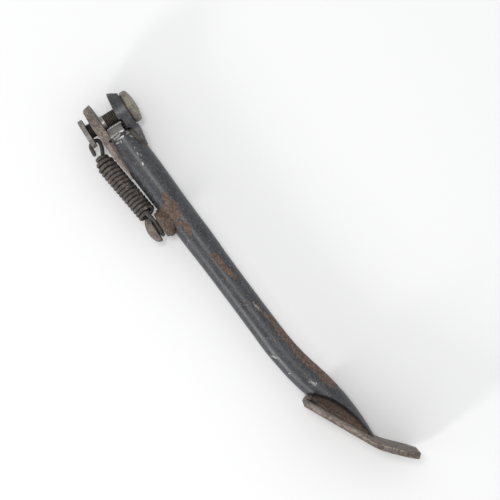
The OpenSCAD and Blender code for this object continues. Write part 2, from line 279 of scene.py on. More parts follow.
def tube_points(path, radius, sides):
    """Rings round a path, then its two end points. The radius is one number, or one for each ring."""
    tangent = np.gradient(path, axis=0)
    tangent /= np.linalg.norm(tangent, axis=1)[:, None]
    first = np.array([0.0, 0.0, 1.0])
    if abs(tangent[0] @ first) > 0.9:
        first = np.array([0.0, 1.0, 0.0])
    rings, angles = [], 2 * np.pi * np.arange(sides) / sides
    for i, t in enumerate(tangent):
        first = first - (first @ t) * t
        first /= np.linalg.norm(first)
        other = np.cross(t, first)
        r = radius[i] if np.ndim(radius) else radius
        rings.append(path[i] + r * (np.cos(angles)[:, None] * first
                                    + np.sin(angles)[:, None] * other))
    return np.concatenate(rings + [path[:1], path[-1:]])


def bead_points(path, radius, sides, seed):
    """A weld bead: a tube with low ripples and an uneven edge, slimmer towards its rounded end."""
    along = np.arange(len(path)) * np.linalg.norm(path[1] - path[0])
    ripple = 1 + 0.03 * np.abs(np.sin(np.pi * along / 1.7)) + 0.20 * noise(path, 3.1, seed)
    end = np.minimum(along, along[-1] - along) / (radius * 0.9)
    round_end = np.sqrt(np.clip(end * (2 - np.minimum(end, 1)), 0.02, 1))
    slim = 1 - 0.25 * along / along[-1]
    return tube_points(path, radius * ripple * round_end * slim, sides)


def make_beads(name, paths, radius, seed):
    """Several weld beads as one piece."""
    points, faces, sides = [], [], 18
    for k, way in enumerate(paths):
        path = smooth_path(way, 0.35)
        faces += grid_faces(len(path), sides, sum(len(p) for p in points))
        points.append(bead_points(path, radius, sides, seed + k))
    piece = make_object(name, np.concatenate(points), faces)
    place = points_of(piece)
    push(piece, 0.20 * layered(place, 1.3, seed + 20))
    return piece


# --- Masks of wear ------------------------------------------------------------------------------

def patches(points, spots, seed, ragged=1.0):
    """1 within the spots, with ragged edges. Each spot is [x, y, x, y, radius] in the XY plane."""
    shift = ragged * (1.5 * layered(points, 6, seed) + 0.9 * noise(points, 1.6, seed + 7))
    mask = np.zeros(len(points))
    for x1, y1, x2, y2, radius in spots:
        start, way = np.array([x1, y1]), np.array([x2 - x1, y2 - y1])
        t = np.clip(((points[:, :2] - start) @ way) / max(way @ way, 1e-9), 0, 1)
        away = np.linalg.norm(points[:, :2] - start - t[:, None] * way, axis=1)
        mask = np.maximum(mask, smooth_step(radius + shift - away, -0.5, 0.5))
    return mask


def specks(points, size, share, seed):
    """1 on scattered small chips that take up about share of the surface."""
    low = 0.62 - 0.9 * share
    return smooth_step(noise(points, size, seed) * (0.75 + 0.25 * noise(points, size * 5, seed + 3)),
                       low, low + 0.12)


def wear_masks(piece, seed, rust, edge_wear, grime_and_shade):
    """Rust on most of a small piece, bare metal on its edges, darkening in its hollows, and grime in random
    patches.
    """
    points, sharp = points_of(piece), sharpness(piece)
    scale = np.percentile(np.abs(sharp), 97) + 1e-6
    patchy = 0.5 + 0.5 * layered(points, 5, seed)
    set_mask(piece, "rust", rust * (0.45 + 1.1 * patchy))
    edge = smooth_step(sharp / scale + 0.5 * noise(points, 1.8, seed + 5), 0.55, 1.2)
    set_mask(piece, "bare_and_highlight", edge_wear * edge + 0.5 * specks(points, 0.8, 0.03, seed + 9))
    set_mask(piece, "grime_and_shade", grime_and_shade * (smooth_step(-sharp / scale, 0.2, 1.0)
                                      + smooth_step(layered(points, 4, seed + 11), 0.1, 0.7)))


# --- Materials ----------------------------------------------------------------------------------

class Tree:
    """Short calls for building one material's nodes."""

    def __init__(self, name):
        self.material = bpy.data.materials.new(name)
        self.material.use_nodes = True
        self.tree = self.material.node_tree
        self.shader = self.tree.nodes["Principled BSDF"]
        self.where = self.add("ShaderNodeTexCoord").outputs["Object"]

    def add(self, kind, inputs=None, **settings):
        made = self.tree.nodes.new(kind)
        for key, value in settings.items():
            setattr(made, key, value)
        for key, value in (inputs or {}).items():
            self.put(made.inputs[key], value)
        return made

    def put(self, socket, value):
        if isinstance(value, bpy.types.NodeSocket):
            self.tree.links.new(value, socket)
        else:
            socket.default_value = value

    def noise(self, size, detail=4.0, roughness=0.6, distortion=0.0):
        """Noise from 0 to 1 with lumps of size millimetres."""
        return self.add("ShaderNodeTexNoise", {
            "Vector": self.where, "Scale": 1 / (size * MM), "Detail": detail,
            "Roughness": roughness, "Distortion": distortion}).outputs["Fac"]

    def streaks(self, sizes, turn):
        """Noise from 0 to 1, stretched into fine scratches of these sizes in millimetres."""
        turned = self.add("ShaderNodeMapping", {"Vector": self.where, "Rotation": (0, 0, turn),
                                                "Scale": [1 / (size * MM) for size in sizes]})
        return self.add("ShaderNodeTexNoise", {
            "Vector": turned.outputs["Vector"], "Scale": 1.0, "Detail": 3.0,
            "Distortion": 0.6}).outputs["Fac"]

    def mask(self, name):
        return self.add("ShaderNodeAttribute", attribute_name=name).outputs["Fac"]

    def math(self, operation, a, b):
        return self.add("ShaderNodeMath", {0: a, 1: b}, operation=operation).outputs[0]

    def step(self, value, low, high, out_low=0.0, out_high=1.0):
        return self.add("ShaderNodeMapRange", {
            "Value": value, "From Min": low, "From Max": high, "To Min": out_low,
            "To Max": out_high}, interpolation_type="SMOOTHSTEP").outputs["Result"]

    def mix(self, share, a, b):
        """A colour between a and b."""
        return self.add("ShaderNodeMix", {0: share, 6: a, 7: b}, data_type="RGBA").outputs[2]

    def blend(self, share, a, b):
        """A number between a and b."""
        return self.add("ShaderNodeMix", {0: share, 2: a, 3: b}, data_type="FLOAT").outputs[0]

    def ramp(self, value, colours):
        made = self.add("ShaderNodeValToRGB", {"Fac": value})
        points = made.color_ramp.elements
        while len(points) < len(colours):
            points.new(0.5)
        for point, (place, colour) in zip(points, colours):
            point.position = place
            point.color = (*colour, 1)
        return made.outputs["Color"]


RUST = [(0.38, (0.024, 0.018, 0.016)), (0.46, (0.060, 0.040, 0.031)),
        (0.53, (0.115, 0.072, 0.050)), (0.62, (0.225, 0.145, 0.098))]
DULL_RUST = [(0.38, (0.024, 0.018, 0.016)), (0.46, (0.068, 0.051, 0.042)),
             (0.53, (0.120, 0.094, 0.076)), (0.62, (0.240, 0.200, 0.165))]
# Bare steel, and on the leg's crest partly a painted highlight.
BARE_AND_HIGHLIGHT = (0.27, 0.262, 0.25, 1)
TAN_BARE = (0.215, 0.180, 0.155, 1)
# Near-black for grime, and for painted shade where the masks put shade.
GRIME_AND_SHADE = (0.016, 0.014, 0.013, 1)
DUST = (0.24, 0.23, 0.215, 1)

LOOKS = {
    # name: light and dark of the coat, its metallic and roughness range, rust colours, share of dust
    "black_paint": ((0.034, 0.036, 0.042, 1), (0.012, 0.012, 0.014, 1), 0.0, 0.29, 0.52, RUST, 0.13),
    "rusty_steel": ((0.250, 0.210, 0.180, 1), (0.070, 0.056, 0.047, 1), 0.30, 0.50, 0.78, DULL_RUST, 0.10),
    "worn_steel": ((0.285, 0.280, 0.265, 1), (0.125, 0.118, 0.108, 1), 0.45, 0.40, 0.66, DULL_RUST, 0.06),
    "weld_metal": ((0.090, 0.076, 0.066, 1), (0.034, 0.029, 0.026, 1), 0.15, 0.55, 0.85, RUST, 0.08),
    "zinc_plate": ((0.265, 0.240, 0.190, 1), (0.085, 0.072, 0.055, 1), 0.50, 0.36, 0.62, DULL_RUST, 0.08),
    "spring_steel": ((0.072, 0.061, 0.053, 1), (0.024, 0.021, 0.019, 1), 0.25, 0.46, 0.74, DULL_RUST, 0.09),
}


def make_material(name):
    """A coat over steel, with rust, bare metal (on the leg's crest partly a painted highlight), grime and
    painted shade, and dust where the piece's masks say.
    """
    light, dark, metallic, smooth, rough, rust_colours, dust_share = LOOKS[name]
    t = Tree(name)
    broad, medium, fine = t.noise(12, 3), t.noise(2.4, 5, 0.65, 0.4), t.noise(0.7, 6, 0.7)
    grain = t.noise(0.25, 3, 0.7)
    speckle = t.noise(1.0, 3, 0.6)
    uneven = t.math("ADD", t.math("MULTIPLY", medium, 0.35), t.math("MULTIPLY", broad, 0.30))
    uneven = t.math("ADD", uneven, t.math("MULTIPLY", speckle, 0.35))
    coat = t.mix(t.step(uneven, 0.41, 0.58), dark, light)
    raggedness = t.math("MULTIPLY", t.math("SUBTRACT", t.math("ADD", medium, fine), 1.0), 0.9)
    rust_at = t.step(t.math("ADD", t.mask("rust"), raggedness), 0.40, 0.60)
    mottle = t.math("ADD", t.math("MULTIPLY", fine, 0.35), t.math("MULTIPLY", medium, 0.30))
    rust = t.ramp(t.math("ADD", mottle, t.math("MULTIPLY", speckle, 0.35)), rust_colours)
    bare_and_highlight_at = t.step(t.math("ADD", t.mask("bare_and_highlight"), t.math("MULTIPLY", raggedness, 0.8)), 0.42, 0.62)
    # The dark mask is grime in some places and painted shade in others.
    grime_and_shade_at = t.step(t.math("ADD", t.mask("grime_and_shade"), t.math("MULTIPLY", raggedness, 0.5)), 0.25, 0.95)
    dust_at = t.step(t.noise(0.8, 2, 0.5), 0.62, 0.72, 0.0, dust_share * 5)
    scratch_at = t.step(t.streaks((9.0, 0.35, 0.35), 0.35), 0.64, 0.72, 0.0, dust_share * 4)
    colour = t.mix(t.math("MAXIMUM", dust_at, scratch_at), coat, DUST)
    colour = t.mix(rust_at, colour, rust)
    colour = t.mix(grime_and_shade_at, colour, GRIME_AND_SHADE)
    colour = t.mix(bare_and_highlight_at, colour, TAN_BARE if name == "rusty_steel" else BARE_AND_HIGHLIGHT)
    t.put(t.shader.inputs["Base Color"], colour)
    shine = t.blend(rust_at, metallic, 0.05)
    shine = t.blend(bare_and_highlight_at, shine, 0.75)
    t.put(t.shader.inputs["Metallic"], shine)
    roughness = t.step(uneven, 0.3, 0.7, smooth, rough)
    roughness = t.blend(rust_at, roughness, 0.82)
    roughness = t.blend(grime_and_shade_at, roughness, 0.70)
    roughness = t.blend(bare_and_highlight_at, roughness, 0.42)
    t.put(t.shader.inputs["Roughness"], roughness)
    relief = t.math("ADD", t.math("MULTIPLY", fine, 0.5), t.math("MULTIPLY", grain, 0.25))
    relief = t.math("MULTIPLY", relief, t.blend(rust_at, 0.30, 1.0))
    relief = t.math("SUBTRACT", relief, t.math("MULTIPLY", bare_and_highlight_at, 0.15))
    bump = t.add("ShaderNodeBump", {"Height": relief, "Strength": 0.55, "Distance": 0.25 * MM})
    t.put(t.shader.inputs["Normal"], bump.outputs["Normal"])
    return t.material


MATERIALS = {name: make_material(name) for name in LOOKS}


def finish_piece(piece, slot, body, *nodes):
    """Gives a piece its material and its body, and hides the CAD nodes that it stands for."""
    piece.data.materials.append(MATERIALS[slot])
    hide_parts(*nodes)
    if body:
        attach(piece, body)
    return piece


# --- Leg ----------------------------------------------------------------------------------------

def leg_table():
    """Leg values along its length: [x, y, half width, half depth, tangent x, tangent y]."""
    dense = on_curve(LEG_STATIONS, np.linspace(0, len(LEG_STATIONS) - 1, 3000))
    table = even_path(dense, 0.1)
    tangent = np.gradient(table[:, :2], axis=0)
    tangent /= np.linalg.norm(tangent, axis=1)[:, None]
    return np.hstack([table, tangent])


def over_plate(x, y):
    """Distance along the foot plate, and height over its upper face."""
    c, s = math.cos(FOOT_ANGLE), math.sin(FOOT_ANGLE)
    dx, dy = x - FOOT_HEEL[0], y - FOOT_HEEL[1]
    return dx * c + dy * s, dy * c - dx * s - FOOT_T


def in_pinch(x, y, soft):
    """1 in the pinched stretch at the leg's end, and 0 on the rest of the leg."""
    along, height = over_plate(x, y)
    reach = np.where(along < PINCH_PEAK_S, PINCH_PEAK_S - PINCH_FROM, PINCH_TO - PINCH_PEAK_S)
    edge = PINCH_PEAK * (1 - ((along - PINCH_PEAK_S) / reach) ** 2)
    return 1 - smooth_step(height, edge - soft, edge + soft)


def leg_point(table, at, angle):
    """Places on the leg's skin, where at counts the table's rows."""
    rows = np.arange(len(table))
    x, y, wide, deep, tx, ty = (np.interp(at, rows, table[:, k]) for k in range(6))
    px, py = x - ty * wide * np.cos(angle), y + tx * wide * np.cos(angle)
    share = 1 - (1 - PINCH_SHARE) * in_pinch(px, py, 1.5)
    return np.stack([px, py, deep * np.sin(angle) * share], axis=-1)


def find_end(table, angle, inside):
    """For each angle, the place along the leg where the skin stops being inside, by halving."""
    low, high = np.full(len(angle), 100.0), np.full(len(angle), float(len(table) - 1))
    for _ in range(30):
        middle = (low + high) / 2
        good = inside(leg_point(table, middle, angle))
        low, high = np.where(good, middle, low), np.where(good, high, middle)
    return low


def leg_skin(rows, columns):
    """The leg as rings that go from its square upper end to its slanted lower end."""
    table = leg_table()
    angle = 2 * np.pi * (np.arange(columns) + 0.5) / columns
    back = table[::-1]
    start = len(table) - 1 - find_end(back, angle, lambda p: p[:, 0] > TUBE_START)
    end = find_end(table, angle, lambda p: over_plate(p[:, 0], p[:, 1])[1] > -0.4)
    share = np.linspace(0, 1, rows)[:, None]
    at = start + (end - start) * share
    points = leg_point(table, at.ravel(), np.tile(angle, rows)).reshape(rows, columns, 3)
    caps = np.stack([points[0].mean(axis=0), points[-1].mean(axis=0)])
    return np.concatenate([points.reshape(-1, 3), caps])


# Rust, chips and scuffs as [x, y, x, y, radius]: on the leg's upper face, then on its underside, then
# on the smaller pieces. A radius below 0 leaves only the widest parts of the ragged edge. Two scuffs on the
# leg's crest are partly a painted highlight.
LEG_RUST = [
    [64, 4.2, 69, 4.2, 2.3], [72, 3.2, 76, 3.6, 5.2], [71, -3.0, 79, -3.0, 3.0],
    [79, 1.5, 85, 4.0, 1.8], [85, 5.2, 91, 5.6, 2.0], [114, 11.2, 123, 12.4, 1.5],
    [123, 12.6, 133, 15.0, 1.9], [154, 17.2, 166, 19.0, 0.8], [168, 20.6, 184, 22.4, 1.6],
    [184, 22.8, 204, 26.2, 2.6], [204, 26.6, 221, 30.0, 2.6], [221, 30.8, 229, 33.4, 1.4],
    [18, -7.8, 30, -7.0, 0.4], [15, 10.9, 27, 12.6, 1.8], [217.6, 21.2, 219.6, 21.9, 0.9],
]
LEG_BARE_AND_HIGHLIGHT = [
    [154, 16.6, 160, 17.6, 0.3], [162, 18.4, 168, 19.4, 0.2], [216.0, 20.6, 221.0, 22.6, 1.2],
    [14.2, -6.2, 14.8, 7.0, 1.3], [16.6, -5.8, 18.0, -1.2, 0.7], [17, 5.5, 19, 8, 0.4],
    [14.2, 5.5, 14.6, 9.0, 0.2], [18.9, -1.7, 23.4, -2.6, 0.1],
    [96, 1.6, 99, 3.8, 0.0], [190, 7.8, 193, 10.6, 0.2], [205, 11.2, 207.5, 13.0, 0.0],
    # The pale patches on the crest at x 24 to 38 are scuffs and partly a painted highlight.
    [24, 4.8, 38, 3.6, 0.2], [26, 6.2, 33, 5.6, -0.1], [63.5, 2.4, 66, 4.4, 0.0],
    [211, 18.6, 226, 25.4, -0.5],
    [100, 7.6, 107, 9.6, -0.4], [139, 13.6, 150, 13.0, -0.8], [178, 12.4, 190, 14.6, -0.7],
    [133, 13.8, 139, 12.8, -0.5], [121, 6.0, 126.4, 9.1, -0.1], [115, 6, 115.4, 6.1, 0.2],
    [94.9, 3.8, 98.5, -0.2, -0.1], [80, 6.0, 84, 6.6, -0.3], [86, 1.6, 90, 2.6, -0.4],
]
BACK_RUST = [
    [70, 4.0, 82, 0.0, 4.6], [104, 9.0, 118, 12.0, 1.8], [150, 15.0, 176, 19.0, 1.6],
    [176, 20.0, 214, 28.0, 2.6], [18, -7.0, 34, -6.0, 1.4], [14, 10.6, 27, 12.0, 2.4],
    [40, -2.0, 46, 0.0, 1.6], [200, 12.0, 212, 16.0, 1.4],
]
BACK_BARE = [
    [22, 2.0, 33, 4.0, -0.3], [88, 10.0, 96, 9.0, -0.3], [128, 9.0, 142, 12.0, -0.5],
    [160, 13.0, 168, 15.0, 0.0], [190, 17.0, 204, 21.0, -0.2],
]

EAR_SCUFFS = [
    [-10, 9.6, -6, 11.2, 0.2], [-7, 10.4, -3.6, 11.8, 0.1], [-14, 7.4, -4, 7.2, -0.1],
    [-10, 13.4, 8, 13.6, -0.4], [2, 9.4, 9, 9.8, -0.5],
]
FOOT_SCUFFS = [[231, 12.8, 273, 35.3, 0.8], [273, 35.3, 292, 53, 0.6]]
BLOCK_SCUFFS = [[6, -5, 13, 5, 2.5]]


def make_leg():
    """The painted leg, with rust patches, chips and the pinched, rusty hollow at its end, which has painted
    shade under the tube's overhang.
    """
    rows, columns = 600, 132
    piece = make_object("leg_tube_skin", leg_skin(rows, columns), grid_faces(rows, columns))
    points = points_of(piece)
    front = smooth_step(points[:, 2], -3.0, 0.5)
    rust = front * patches(points, LEG_RUST, 11) + (1 - front) * patches(points, BACK_RUST, 31)
    bare_and_highlight = (front * patches(points, LEG_BARE_AND_HIGHLIGHT, 51, 0.6)
            + (1 - front) * patches(points, BACK_BARE, 71, 0.6))
    recess = in_pinch(points[:, 0], points[:, 1], 0.8)
    chips = specks(points, 1.1, 0.10, 91) * smooth_step(layered(points, 22, 93), -0.1, 0.5)
    few = specks(points, 2.2, 0.05, 95)
    in_recess = 0.75 * recess + 0.25 * recess * noise(points, 3, 97)
    rust = np.maximum(rust, np.maximum(0.9 * few, in_recess))
    broken = 0.38 + 0.62 * smooth_step(noise(points * [0.5, 1, 1], 0.8, 98), -0.3, 0.4)
    bare_and_highlight = np.maximum(bare_and_highlight * (1 - recess) * broken, 0.62 * chips)
    low = -0.10 * rust * (0.6 + 0.7 * noise(points, 1.3, 99)) - 0.05 * bare_and_highlight
    push(piece, low + 0.10 * noise(points, 17, 101) + 0.035 * layered(points, 4, 103))
    set_mask(piece, "rust", rust)
    set_mask(piece, "bare_and_highlight", bare_and_highlight)
    # In the pinched hollow the dark mask is painted shade, darkest just under the tube's overhang;
    # elsewhere it is light random grime.
    deep = over_plate(points[:, 0], points[:, 1])[1]
    set_mask(piece, "grime_and_shade", 0.15 * smooth_step(layered(points, 9, 105), 0.0, 0.8)
             + recess * (0.35 + 0.4 * smooth_step(deep, 2.0, 8.0)))
    return finish_piece(piece, "black_paint", "leg", "leg_tube")


# --- Clevis, plates and post --------------------------------------------------------------------

WORN_NODES = [
    # node, slot, body, voxel, rounding, (waves, pits), seed, rust, edge wear, hollow darkening and grime,
    # scuffs
    ("ear_head_side", "black_paint", "leg", 0.30, 5, (0.10, 0.06), 110, 0.30, 0.45, 0.5, EAR_SCUFFS),
    ("ear_spring_side", "rusty_steel", "leg", 0.30, 5, (0.12, 0.12), 120, 0.40, 0.30, 0.5, ()),
    ("stop_block", "worn_steel", "leg", 0.30, 2, (0.05, 0.03), 130, 0.06, 0.10, 0.2, BLOCK_SCUFFS),
    ("foot_plate", "rusty_steel", "leg", 0.42, 3, (0.06, 0.14), 140, 0.52, 0.45, 0.5, FOOT_SCUFFS),
    ("spring_post", "rusty_steel", "leg", 0.28, 5, (0.25, 0.25), 150, 0.50, 0.25, 0.5, ()),
    ("post_collar", "rusty_steel", "leg", 0.25, 9, (0.40, 0.30), 160, 0.75, 0.20, 0.5, ()),
    ("keeper_plate", "worn_steel", "pivot_hardware", 0.25, 5, (0.08, 0.10), 180, 0.42, 0.30, 0.5, ()),
]


def make_from_node(node, slot, body, voxel, rounding, relief, seed, rust, edge_wear, grime_and_shade, scuffs):
    """A worn copy of one CAD node. The relief is the height of its waves and the depth of its pits."""
    piece = remeshed(node + "_skin", node, voxel, rounding)
    wear_masks(piece, seed, rust, edge_wear, grime_and_shade)
    points = points_of(piece)
    if scuffs:
        broken = 0.30 + 0.70 * smooth_step(noise(points, 0.7, seed + 29), -0.3, 0.4)
        set_mask(piece, "bare_and_highlight", patches(points, scuffs, seed + 27, 0.5) * broken)
    waves, pits = relief
    dips = np.maximum(0, noise(points, 1.2, seed + 31)) + 0.5 * np.maximum(0, noise(points, 2.3, seed + 33))
    push(piece, waves * layered(points, 6, seed + 35) - pits * dips)
    return finish_piece(piece, slot, body, node)


def make_post_weld():
    """The rough weld round the post, which covers the collar's inner edge."""
    piece = remeshed("post_weld_skin", "post_weld", 0.30, 5)
    points = points_of(piece)
    widen, heap = 0.9, 1.1
    near = smooth_step(-points[:, 1], 2.4, 4.6)
    away = points - [POST_X, 0, 0]
    round_post = np.hypot(away[:, 0], away[:, 2])
    for k in (0, 2):
        points[:, k] += widen * near * away[:, k] / np.maximum(round_post, 1)
    points[:, 1] -= heap * near * smooth_step(round_post, 5, 8)
    set_points(piece, points)
    wear_masks(piece, 170, 0.85, 0.25, 0.7)
    points = points_of(piece)
    pits = np.maximum(0, noise(points, 1.4, 201)) + 0.6 * np.maximum(0, noise(points, 2.8, 203))
    push(piece, 0.70 * layered(points, 4, 205) - 0.80 * pits)
    return finish_piece(piece, "weld_metal", "leg", "post_weld")


BEADS = {
    # name of the weld's node: slot, bead radius, seed, share of rust, edge wear, scuffs on top
    "block_weld": ("black_paint", 1.6, 201, 0.12, 1.0, 0.42),
    "ear_weld_head": ("weld_metal", 2.4, 211, 0.30, 0.2, 0.0),
    "ear_weld_spring": ("weld_metal", 2.3, 221, 0.35, 0.2, 0.0),
    "foot_weld": ("weld_metal", 2.1, 231, 0.6, 0.12, 0.0),
}


def make_welds():
    """The weld beads, each along the joint that it fills."""
    top = [[[14.0, -5.6, s * 9.6], [13.5, -3, s * 10.7], [13.4, 1, s * 11.1], [13.5, 4.2, s * 10.7],
            [14.2, 6.4, s * 9.6]] for s in (1, -1)]
    top += [[[x, 6.5, -9], [x, 6.5, -2], [x, 6.5, 4.5]] for x in (6.9, 9.1, 11.3)]
    make_one_weld("block_weld", top)
    head = [[[13.6, 8.4, s * 8.0], [17, 9.1, s * 7.5], [21, 10.0, s * 6.6], [24.4, 10.9, s * 5.0],
             [25.8, 11.4, s * 2.4], [26.0, 11.6, 0]] for s in (1, -1)]
    make_one_weld("ear_weld_head", head)
    spring = [[[13.6, -6.3, s * 8.2], [19, -6.7, s * 7.4], [25, -7.0, s * 6.2], [32, -7.1, s * 5.0],
               [38, -7.0, s * 3.8]] for s in (1, -1)]
    make_one_weld("ear_weld_spring", spring)
    foot = [[foot_place(0.6, 3.2, s * 1.0), foot_place(3, 2.2, s * 2.6), foot_place(12, 0.7, s * 4.4),
             foot_place(25, 0.8, s * 5.2), foot_place(37, 0.7, s * 4.4), foot_place(46, 0.3, s * 2.4)]
            for s in (1, -1)]
    foot += [[foot_place(1.9, -0.6, z), foot_place(1.7, 1.6, z), foot_place(1.6, 3.8, z)]
             for z in (-4, 0, 4)]
    make_one_weld("foot_weld", foot)


def foot_place(along, height, z):
    """A place along the foot plate from its heel, at a height over its upper face."""
    c, s = math.cos(FOOT_ANGLE), math.sin(FOOT_ANGLE)
    t = FOOT_T + height
    return [FOOT_HEEL[0] + along * c - t * s, FOOT_HEEL[1] + along * s + t * c, z]


def make_one_weld(node, paths):
    """A rusty or painted weld. Its top can be scuffed down to bare metal."""
    slot, radius, seed, rust, edge_wear, scuffs = BEADS[node]
    piece = make_beads(node + "_bead", paths, radius, seed)
    wear_masks(piece, seed, rust, edge_wear, 0.6)
    if scuffs:
        points = points_of(piece)
        high = smooth_step(points[:, 2], 8, 11)
        set_mask(piece, "bare_and_highlight", high * (scuffs + 0.5 * noise(points, 1.2, seed + 41)))
    finish_piece(piece, slot, "leg", node)


# --- Pivot bolt ---------------------------------------------------------------------------------

def bolt_profile(high):
    """[distance along the bolt, radius, share of hexagon] from the riveted end to the socket's floor."""
    head_in = high - HEAD_HEIGHT
    rim_top = head_in + HEAD_RIM
    rows = [[-19.4, 0.3, 0], [-19.35, 2.2, 0], [-19.1, 3.5, 0], [-18.8, 4.0, 0], [-15.9, 4.05, 0],
            [-15.85, 4.7, 0], [-15.6, 5.0, 0]]
    rows += [[y, SHANK_R, 0] for y in np.arange(-15.2, head_in - 0.05, 0.11)]
    rows += [[head_in, 5.2, 0], [head_in, HEAD_R, 0], [head_in + 0.12, 11.24, 0]]
    rows += [[y, 11.35, 0] for y in np.arange(head_in + 0.4, rim_top - 0.3, 0.35)]
    rows += [[rim_top - 0.1, 11.2, 0]]
    for a in np.radians(np.arange(2, 70, 4)):
        rows.append([rim_top + HEAD_DOME * math.sin(a), HEAD_R * math.cos(a) ** 0.9, 0])
    rows += [[high - 0.02, 5.1, 1], [high - 0.35, 4.6, 1], [high - 1.4, 4.55, 1], [high - 2.5, 4.5, 1]]
    floor = high - SOCKET_DEPTH
    rows += [[floor, 4.2, 1], [floor, 2.0, 0.5], [floor, 0.3, 0]]
    return np.array(rows)


def make_bolt():
    """One turned piece with a helical thread, a domed head and a hexagon socket."""
    profile = bolt_profile(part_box("pivot_bolt")[1].y / MM)
    columns = 96
    angle = 2 * np.pi * np.arange(columns) / columns
    y, r, hexagon = (profile[:, k][:, None] for k in range(3))
    six = math.cos(math.pi / 6) / np.cos((angle + math.pi / 6) % (math.pi / 3) - math.pi / 6)
    turn = (y / THREAD_PITCH + angle / (2 * np.pi)) % 1
    on_shank = np.abs(r - SHANK_R) < 0.01
    thread = smooth_step(y, -3.6, -2.6) * (1 - smooth_step(y, 7.6, 8.4)) * on_shank
    radius = r * (1 + hexagon * (six - 1)) - thread * THREAD_DEPTH * (1 - np.abs(2 * turn - 1))
    ys = np.broadcast_to(y, radius.shape)
    points = np.stack([radius * np.cos(angle), ys, -radius * np.sin(angle)], axis=-1).reshape(-1, 3)
    caps = [[0, profile[0, 0], 0], [0, profile[-1, 0], 0]]
    faces = [face[::-1] for face in grid_faces(len(profile), columns)]
    piece = make_object("pivot_bolt_turned", np.concatenate([points, caps]), faces)
    wear_masks(piece, 301, 0.42, 0.35, 0.55)
    place = points_of(piece)
    head = smooth_step(place[:, 1], 14.0, 15.0)
    push(piece, head * (0.10 * layered(place, 4, 303) - 0.10 * np.maximum(0, noise(place, 1.3, 305))))
    shank = (1 - head) * smooth_step(-place[:, 1], 3.0, 3.6) * (place[:, 1] > -6.2)
    rust = 0.36 * head + 0.42 * head * layered(place, 5, 307) + 0.25 * (1 - head) * (1 - shank)
    set_mask(piece, "rust", rust)
    set_mask(piece, "bare_and_highlight", 0.85 * shank + 0.3 * specks(place, 1.0, 0.05, 309))
    in_gap = (1 - head) * (place[:, 1] > -3.0)
    crest = np.hypot(place[:, 0], place[:, 2])
    groove = 1 - smooth_step(crest, 4.5, 4.95)
    # Between the ears the bolt is darker, most in the thread's grooves; past y = -6.2, out through the
    # spring-side ear to the keeper plate, the dark is painted shade.
    set_mask(piece, "grime_and_shade", in_gap * (0.25 + 0.75 * groove) + 0.9 * (place[:, 1] < -6.2)
             + 0.4 * head * smooth_step(layered(place, 4, 311), 0.1, 0.6))
    return finish_piece(piece, "zinc_plate", "pivot_hardware", "pivot_bolt")


def make_washer():
    """A flat ring with small bevels on its outer edges."""
    bevel = 0.15
    low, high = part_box("head_washer")
    inner, outer = 5.2, high.x / MM
    y0, y1 = low.y / MM, high.y / MM
    shape = [[inner, y0], [outer - bevel, y0], [outer, y0 + bevel], [outer, y1 - bevel],
             [outer - bevel, y1], [inner, y1]]
    columns = 120
    angle = 2 * np.pi * np.arange(columns) / columns
    points = [[r * math.cos(a), y, r * math.sin(a)] for a in angle for r, y in shape]
    n = len(shape)
    faces = []
    for i in range(columns):
        a, b = i * n, (i + 1) % columns * n
        faces += [(a + j, a + (j + 1) % n, b + (j + 1) % n, b + j) for j in range(n)]
    piece = make_object("head_washer_ring", points, faces)
    piece.data.polygons.foreach_set("use_smooth", [False] * len(faces))
    wear_masks(piece, 321, 0.5, 0.2, 0.8)
    return finish_piece(piece, "zinc_plate", "pivot_hardware", "head_washer")


# --- Spring -------------------------------------------------------------------------------------

def coil_point(turn):
    """Wire centre after some turns, counted from the upper end."""
    angle = np.pi - 2 * np.pi * turn
    in_cone = np.maximum(0, CONE_FROM - turn)
    r = COIL_R - CONE_RATE * in_cone
    opening = COIL_OPEN * (1 - np.maximum(0, 1 - turn / COIL_OPEN_TURNS) ** 2)
    along = np.where(turn < 0, CONE_PITCH * turn, COIL_PITCH * turn + opening)
    along = along - COIL_LEAN * r * np.sin(angle)
    across = r * np.cos(angle) + CONE_SHIFT * in_cone
    axis = np.array([math.cos(COIL_TILT), math.sin(COIL_TILT), 0])
    side = np.array([-math.sin(COIL_TILT), math.cos(COIL_TILT), 0])
    up = np.array([0, 0, 1.0])
    rise = r * np.sin(angle)
    return COIL_START + along[:, None] * axis + across[:, None] * side + rise[:, None] * up


def arc(centre, radius, angles, plane):
    """Points on an arc, in the XY plane or the XZ plane."""
    a = np.radians(angles)
    zero = np.zeros(len(a))
    parts = [np.cos(a), np.sin(a), zero] if plane == "xy" else [np.cos(a), zero, np.sin(a)]
    return np.array(centre) + radius * np.stack(parts, axis=1)


def spring_path():
    """The whole wire: free end, hook through the keeper plate, coils, and the loop round the post."""
    lower_bend = arc([HOOK_X, HOOK_Y, 0], HOOK_R, np.arange(-90, -181, -15), "xy")
    upper_bend = arc([HOOK_X - HOOK_R + HOOK_TOP_R, HOOK_TOP_Y - HOOK_TOP_R, 0], HOOK_TOP_R,
                     np.arange(-180, -271, -15), "xy")
    coils = coil_point(np.linspace(-CONE_TURNS, COIL_TURNS, 700))
    free = [[15.8, -21.1, -0.5], [14.2, -20.8, -0.2], [12.6, -20.6, 0]]
    rise = [[12.2, -13.85, 0], [15.1, -14.95, 0.1]]
    bridge = [[68.2, -11.3, 5.6], [71, -10.5, 5.75], [74, LOOP_Y, 5.7]]
    loop = arc([POST_X, LOOP_Y, 0], LOOP_R, np.arange(90, -91, -15), "xz")
    tail = [[74.6, LOOP_Y, -5.3], [72, LOOP_Y, -4.4]]
    upper = np.concatenate([free, lower_bend, upper_bend, rise, coils[:5:4]])
    lower = np.concatenate([coils[-4::3], bridge, loop, tail])
    first = on_curve(upper, np.linspace(0, len(upper) - 2, 400))
    last = on_curve(lower, np.linspace(1, len(lower) - 1, 400))
    return even_path(np.concatenate([first, coils[1:-1], last]), WIRE_STEP)


